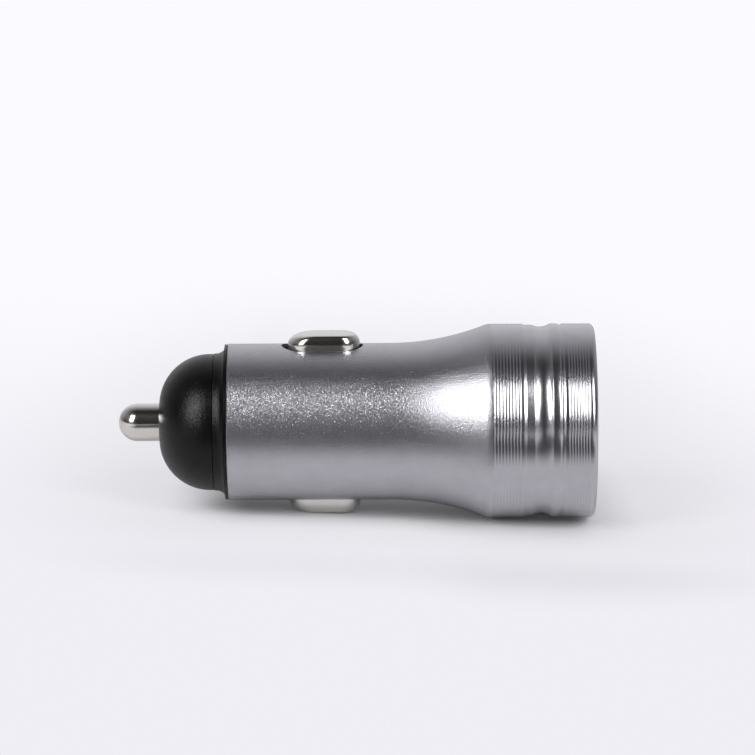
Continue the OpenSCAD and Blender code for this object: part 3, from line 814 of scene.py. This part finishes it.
def side_contact(name, side):
    """A drawn cup with a crown that ramps up from the front, and a flange that holds it in its slot."""
    left = CONTACT_X - CONTACT_LENGTH / 2
    right = CONTACT_X + CONTACT_LENGTH / 2
    shoulder = CONTACT_TOP - CROWN_HEIGHT
    piece = stadium(name, CONTACT_X, CONTACT_LENGTH, CONTACT_WIDTH, CONTACT_BASE, shoulder, 128)
    alone(piece)
    choose(piece, lambda f: f.normal.z < -0.5, "polygons")
    bpy.ops.mesh.delete(type="ONLY_FACE")
    choose(piece, lambda f: f.normal.z > 0.5, "polygons")
    length = right - left
    width = CONTACT_WIDTH
    # Ring by ring, the crown's edge follows a quarter of an ellipse
    quarter = math.pi / 2
    for i in range(1, CROWN_RINGS + 1):
        turn = quarter * i / CROWN_RINGS
        shrink = 1.0 - math.cos(turn)
        rise = CROWN_HEIGHT * (math.sin(turn) - math.sin(turn - quarter / CROWN_RINGS))
        new_left = CONTACT_X - CONTACT_LENGTH / 2 + CROWN_RAMP * shrink
        new_right = CONTACT_X + CONTACT_LENGTH / 2 - CROWN_SIDE * shrink
        new_width = CONTACT_WIDTH - 2 * CROWN_EDGE * shrink
        scale = (new_right - new_left) / length
        middle = (new_left - scale * left) / (1.0 - scale)
        bpy.ops.mesh.extrude_region_move(TRANSFORM_OT_translate={"value": point(0, 0, rise)})
        bpy.ops.transform.resize(value=(scale, new_width / width, 1.0), center_override=point(middle, 0, 0))
        left, right, length, width = new_left, new_right, new_right - new_left, new_width
    leave()
    modify(piece, "SOLIDIFY", thickness=CONTACT_WALL * MM, offset=-1.0, use_even_offset=True)
    flange = stadium("flange", CONTACT_X, FLANGE_LENGTH, FLANGE_WIDTH, FLANGE_R - REACH, FLANGE_R + REACH)
    wall_front = CONTACT_X - FLANGE_LENGTH
    wall_end = CONTACT_X + FLANGE_LENGTH
    inner_r = FLANGE_R - FLANGE_THICKNESS
    wall_outline = [(wall_front, FLANGE_R), (wall_end, FLANGE_R), (wall_end, inner_r), (wall_front, inner_r)]
    cut(flange, turned("flange_wall", wall_outline), "INTERSECT")
    cut(flange, stadium(
        "cup_cutter", CONTACT_X, CONTACT_LENGTH - CONTACT_WALL, CONTACT_WIDTH - CONTACT_WALL,
        FLANGE_R - 2 * REACH, FLANGE_R + 2 * REACH,
    ))
    alone(piece)
    flange.select_set(True)
    bpy.ops.object.join()
    if side < 0:
        enter()
        bpy.ops.mesh.select_all(action="SELECT")
        bpy.ops.transform.mirror(constraint_axis=(False, False, True), center_override=(0, 0, 0))
        bpy.ops.mesh.flip_normals()
        leave()
    smooth(piece, 35.0)
    return piece


for side, level in LEVELS:
    button = side_contact(level + "_contact_button", side)
    finished(button, "nickel_plate", level + "_contact", "side_contact_" + level)


# Springs

def coil(name, coil_r, wire, turns, length):
    """A coil spring on the XY plane, with its first and last turns closed."""
    close = CLOSE_PITCH * wire
    height = wire / 2
    lengths = []
    for count, climb in ((1, close), (turns - 2, length - wire - 2 * close), (1, close)):
        bpy.ops.object.select_all(action="DESELECT")
        bpy.ops.mesh.primitive_circle_add(
            vertices=12, radius=wire / 2 * MM, location=point(coil_r, 0, height), rotation=(math.pi / 2, 0, 0)
        )
        part = bpy.context.object
        place_applied(part)
        modify(
            part, "SCREW", axis="Z", angle=math.tau * count, screw_offset=climb * MM,
            steps=SPRING_STEPS * count, render_steps=SPRING_STEPS * count,
        )
        lengths.append(part)
        height += climb
    for part in lengths:
        part.select_set(True)
    bpy.context.view_layer.objects.active = lengths[0]
    bpy.ops.object.join()
    piece = started(name)
    bpy.ops.mesh.remove_doubles(threshold=10 * MERGE)
    bpy.ops.mesh.fill_holes(sides=12)
    bpy.ops.mesh.select_all(action="SELECT")
    bpy.ops.mesh.normals_make_consistent(inside=False)
    leave()
    smooth(piece, 60.0)
    return piece


coil_over_pin = coil("pin_coil", PIN_COIL_R, PIN_WIRE, PIN_COIL_TURNS, PIN_COIL_LENGTH)
coil_over_pin.rotation_euler = (0, math.pi / 2, 0)
coil_over_pin.location = point(PIN_COIL_START, 0, 0)
place_applied(coil_over_pin)
finished(coil_over_pin, "spring_wire", "housing", "pin_spring")
point(PIN_COIL_START + PIN_COIL_LENGTH, 0, 0)
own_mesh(coil_over_pin)
for side, level in LEVELS:
    under_button = coil(level + "_side_coil", SIDE_COIL_R, SIDE_WIRE, SIDE_COIL_TURNS, SIDE_COIL_LENGTH)
    under_button.rotation_euler = (0 if side > 0 else math.pi, 0, 0)
    under_button.location = point(CONTACT_X, 0, side * SIDE_COIL_START)
    place_applied(under_button)
    finished(under_button, "spring_wire", "housing", "side_spring_" + level)
    point(CONTACT_X, 0, side * SIDE_COIL_START)
    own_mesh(under_button)


# Face plate and ports

def along_axis(piece, edge):
    first, second = (piece.data.vertices[index].co for index in edge.vertices)
    return abs(first.x - second.x) > MERGE


def block(name, start, end, width, low, high, y=0.0, round_edges=0.0, segments=3):
    """A block from start to end along the axis; round_edges rounds the four edges along it."""
    bpy.ops.object.select_all(action="DESELECT")
    bpy.ops.mesh.primitive_cube_add(
        size=1.0, location=point((start + end) / 2, y, (low + high) / 2),
        scale=point(end - start, width, high - low),
    )
    piece = started(name)
    if round_edges:
        choose(piece, lambda e: along_axis(piece, e), "edges")
        bpy.ops.mesh.bevel(offset=round_edges * MM, segments=segments, affect="EDGES")
    leave()
    return piece


def face_outline():
    """Has an eased front edge and a skirt behind the plate."""
    back_face = FACE_MOUTH - FACE_THICKNESS
    return [
        (FACE_MOUTH, 0.0), (FACE_MOUTH, FACE_R - 0.2), (FACE_MOUTH - 0.06, FACE_R - 0.06),
        (FACE_MOUTH - 0.2, FACE_R), (back_face - SKIRT_LENGTH, FACE_R),
        (back_face - SKIRT_LENGTH, FACE_R - SKIRT_WALL), (back_face, FACE_R - SKIRT_WALL), (back_face, 0.0),
    ]


OPENING_WIDTH = PORT_WIDTH + 2 * PORT_GAP
OPENING_HEIGHT = PORT_HEIGHT + 2 * PORT_GAP
face = turned("ported_face_plate", face_outline(), 128, closed=False)
for side in (-1, 1):
    opening_low = side * PORT_Z - OPENING_HEIGHT / 2
    cut(face, block(
        "opening_cutter", FACE_MOUTH - FACE_THICKNESS - REACH, FACE_MOUTH + REACH, OPENING_WIDTH,
        opening_low, opening_low + OPENING_HEIGHT, round_edges=PORT_CORNER, segments=6,
    ))


def on_opening_edge(edge):
    """Holds where both ends and the middle of an edge lie on the round-cornered outline of an opening."""
    first, second = (face.data.vertices[index].co / MM for index in edge.vertices)
    for v in (first, second, (first + second) / 2):
        past_y = max(abs(v.y) - OPENING_WIDTH / 2 + PORT_CORNER, 0.0)
        past_z = max(abs(abs(v.z) - PORT_Z) - OPENING_HEIGHT / 2 + PORT_CORNER, 0.0)
        if abs(v.x - FACE_MOUTH) > NEAR or abs(math.hypot(past_y, past_z) - PORT_CORNER) > NEAR:
            return False
    return True


alone(face)
choose(face, on_opening_edge, "edges")
bpy.ops.mesh.bevel(offset=OPENING_BEVEL * MM, segments=3, affect="EDGES", clamp_overlap=True)
leave()
smooth(face, 32.0)
finished(face, "black_plastic", "housing", "face_plate")


def leaf(name, start, y, wall, side):
    """A sprung leaf of the shell's sheet, joined to it at the back and bowed into the port."""
    # Places along the leaf, each with its share of the bow
    bow = ((0.0, 0.0), (1.2, 0.2), (2.4, 0.75), (3.3, 1.0), (3.9, 0.85), (4.6, 0.15))
    bpy.ops.object.select_all(action="DESELECT")
    bpy.ops.mesh.primitive_plane_add(size=MM, location=point(start, y, wall))
    piece = started(name)
    bpy.ops.transform.resize(value=(0, LEAF_WIDTH, 1), center_override=point(start, y, wall))
    bpy.ops.mesh.remove_doubles(threshold=MERGE)
    for (x0, d0), (x1, d1) in zip(bow, bow[1:]):
        bpy.ops.mesh.extrude_region_move(
            TRANSFORM_OT_translate={"value": point(x1 - x0, 0, -side * LEAF_BOW * (d1 - d0))}
        )
    leave()
    modify(piece, "SOLIDIFY", thickness=PORT_SHEET * MM, offset=0.0)
    return piece


def port_shell(name, side):
    """A folded steel can with two sprung leaves in each of its wide walls."""
    middle = side * PORT_Z
    half = PORT_HEIGHT / 2
    piece = block(
        name, FACE_MOUTH - PORT_DEPTH, FACE_MOUTH, PORT_WIDTH, middle - half, middle + half,
        round_edges=PORT_CORNER, segments=6,
    )
    alone(piece)
    choose(piece, lambda f: abs(f.normal.x) > 0.9, "polygons")
    bpy.ops.mesh.delete(type="ONLY_FACE")
    leave()
    modify(piece, "SOLIDIFY", thickness=PORT_SHEET * MM, offset=-1.0, use_even_offset=True)
    leaves = []
    start = FACE_MOUTH - LEAF_FRONT - LEAF_LENGTH
    for y in (-LEAF_Y, LEAF_Y):
        cut(piece, block(
            "leaf_cutter", start, start + LEAF_LENGTH, LEAF_WIDTH + 2 * LEAF_CUT,
            middle - half - REACH, middle + half + REACH, y=y,
        ))
        for up in (-1, 1):
            leaves.append(leaf("leaf", start, y, middle + up * (half - PORT_SHEET / 2), up))
    alone(piece)
    for part in leaves:
        part.select_set(True)
    bpy.ops.object.join()
    smooth(piece, 40.0)
    return piece


def port_tongue(name, side):
    """The block at the back of a port and the tongue with four channels for the pins."""
    back_end = FACE_MOUTH - PORT_DEPTH
    middle = side * PORT_Z
    inside = PORT_SHEET + PORT_GAP
    top = middle + side * TONGUE_TOP
    bottom = middle + side * (TONGUE_TOP - TONGUE_THICKNESS)
    piece = block(
        name, back_end + BLOCK_DEPTH, FACE_MOUTH - TONGUE_SETBACK, TONGUE_WIDTH,
        min(top, bottom), max(top, bottom),
    )
    alone(piece)
    choose(piece, lambda f: f.normal.x > 0.9, "polygons")
    bpy.ops.mesh.bevel(offset=TONGUE_BEVEL * MM, segments=3, affect="EDGES")
    leave()
    half = PORT_HEIGHT / 2 - inside
    base_start = back_end + BLOCK_START
    base = block(
        "port_block", base_start, base_start + BLOCK_DEPTH, PORT_WIDTH - 2 * inside,
        middle - half, middle + half, round_edges=PORT_CORNER - PORT_SHEET,
    )
    cut(piece, base, "UNION")
    channel_width = PIN_WIDTH + 2 * PORT_GAP
    low, high = sorted((bottom - side * (PIN_CHANNEL + PORT_GAP), bottom + side * PORT_GAP))
    for y in PIN_PLACES:
        cut(piece, block(
            "channel_cutter", back_end - REACH, back_end + BLOCK_DEPTH + CHANNEL_END, channel_width,
            low, high, y=y,
        ))
    smooth(piece, 32.0)
    return piece


for side, level in LEVELS:
    can = port_shell(level + "_port_can", side)
    finished(can, "port_steel", "housing", "port_shell_" + level)
    tongue = port_tongue(level + "_port_tongue_block", side)
    finished(tongue, "white_plastic", "housing", "port_tongue_" + level)


# Plain CAD pieces keep their shape and get the finish of their slot

slots = {entry["node"]: entry["material_slot"] for entry in frame["record"]["subparts"]}
for node_name, node in frame["nodes"].items():
    node.data.materials.clear()
    node.data.materials.append(finishes[slots[node_name]].material)


# Floor, studio and camera

# The plug lies on its lower contact and on the head's front edge, so the floor slopes a little in its frame
contact_edge = Vector((CONTACT_X - CONTACT_LENGTH / 2 + CROWN_RAMP, -CONTACT_TOP))
head_edge = Vector((HEAD_FRONT, -HEAD_R))
slope = math.atan2(head_edge.y - contact_edge.y, head_edge.x - contact_edge.x)
bpy.ops.object.select_all(action="DESELECT")
bpy.ops.mesh.primitive_plane_add(
    size=FLOOR_SIZE, location=point(head_edge.x, 0, head_edge.y), rotation=(0, -slope, 0)
)
floor = bpy.context.object
floor.name = "floor"
place_applied(floor)

# Pale beside and behind the plug and painted dark towards the camera: this dark floor colour is painted shade
# of the camera's side, so that the metal mirrors a dim room
paper = Finish("paper_floor")
depth = paper.axis("Y")
aside = abs(paper.axis("X"))
clear_of_painted_shade = paper.rise(depth, -0.038, -0.020).most(paper.rise(aside, 0.035, 0.08))
beyond = (abs(paper.axis("X") - SHADOW_MIDDLE) - SHADOW_HALF).most(0.0)
# Painted shadow: the floor's colour is darkened under and behind the plug, fading out within 14 mm in front
# of it and 6 mm past its ends
painted_shadow_under_plug = (1.0 - paper.rise(0.0 - depth, 0.0, 0.014)) * (1.0 - paper.rise(beyond, 0.0, 0.006))
near = paper.blend(paper.noise(40.0), (0.865, 0.862, 0.875, 1.0), (0.875, 0.872, 0.885, 1.0))
paper.set({
    "Base Color": paper.blend(clear_of_painted_shade * (1.0 - 0.4 * painted_shadow_under_plug), (0.06, 0.06, 0.06, 1.0), near),
    "Roughness": 0.85,
    "Specular IOR Level": 0.1,
})

# The camera sees a paler floor that turns white at the back. Near the plug less of that is added, so that its
# shadow shows, and the slow rise of this glow out to about 45 mm, reaching further in front of the head,
# leaves a wider painted shadow round the plug
haze = paper.rise(depth, -0.02, 0.16)
glow = paper.node("ShaderNodeEmission", inputs={
    "Color": paper.blend(haze, (0.865, 0.858, 0.912, 1.0), (0.965, 0.960, 1.0, 1.0)),
    "Strength": 1.0,
})
in_front = (0.0 - depth - 0.006 * paper.rise(paper.axis("X"), 0.0, 0.015)).most(0.25 * depth)
apart = paper.node("ShaderNodeMath", {"operation": "SQRT"}, {0: beyond * beyond + in_front * in_front})
seen = paper.node("ShaderNodeLightPath", output="Is Camera Ray")
# Painted shadow: the glow is held back in a wide halo round the plug
lift = seen * (0.04 + 0.62 * paper.rise(apart, 0.001, 0.012) + 0.34 * paper.rise(apart, 0.004, 0.045))
shown = paper.node(
    "ShaderNodeMixShader", inputs={0: lift, 1: Field(paper, paper.surface.outputs[0]), 2: glow}
)
paper.tree.links.new(shown.socket, paper.tree.nodes["Material Output"].inputs["Surface"])
floor.data.materials.append(paper.material)

# A white sweep behind and above, and a dim room behind the camera
world = bpy.data.worlds.new("studio")
scene.world = world
world.use_nodes = True
studio = Finish(tree=world.node_tree)
direction = studio.node("ShaderNodeTexCoord", output="Generated")
back = studio.node("ShaderNodeSeparateXYZ", inputs={0: direction}, output="Y")
across = abs(studio.node("ShaderNodeSeparateXYZ", inputs={0: direction}, output="X"))
up = studio.node("ShaderNodeSeparateXYZ", inputs={0: direction}, output="Z")
sweep = 0.015 + 0.745 * studio.rise(back, -0.15, 1.0) * (1.0 - 0.45 * studio.rise(across, 0.25, 0.7))
sweep = sweep + 0.13 * studio.rise(across, 0.4, 0.85) * studio.rise(up, 0.0, 0.5)
camera_sees = studio.node("ShaderNodeLightPath", output="Is Camera Ray")
strength = sweep + camera_sees * (1.0 - sweep)
background = world.node_tree.nodes["Background"]
background.inputs["Color"].default_value = (0.985, 0.985, 1.0, 1.0)
world.node_tree.links.new(strength.socket, background.inputs["Strength"])


def softbox(name, azimuth):
    """A tall lamp that faces the plug from above; azimuth 0 is the camera's side."""
    data = bpy.data.lights.new(name, "AREA")
    data.shape = "RECTANGLE"
    data.size = BOX_WIDTH
    data.size_y = BOX_HEIGHT
    data.energy = BOX_POWER
    lamp = bpy.data.objects.new(name, data)
    scene.collection.objects.link(lamp)
    turn = math.radians(azimuth)
    flat = math.cos(math.radians(BOX_RISE))
    lamp.location = BOX_DISTANCE * Vector((
        math.sin(turn) * flat, -math.cos(turn) * flat, math.sin(math.radians(BOX_RISE))
    ))
    lamp.rotation_euler = (-lamp.location).to_track_quat("-Z", "Y").to_euler()


softbox("left_softbox", -BOX_TURN)
softbox("right_softbox", BOX_TURN)

camera_data = bpy.data.cameras.new("camera")
camera_data.lens = CAMERA_LENS
camera_data.sensor_width = 36.0
camera_data.clip_start = 0.01
camera_data.clip_end = 20.0
camera = bpy.data.objects.new("camera", camera_data)
scene.collection.objects.link(camera)
camera.location = CAMERA_PLACE
camera.rotation_euler = (math.radians(90.0 - CAMERA_DROP), 0.0, 0.0)
camera.rotation_euler.rotate_axis("Z", math.radians(CAMERA_ROLL))
scene.camera = camera
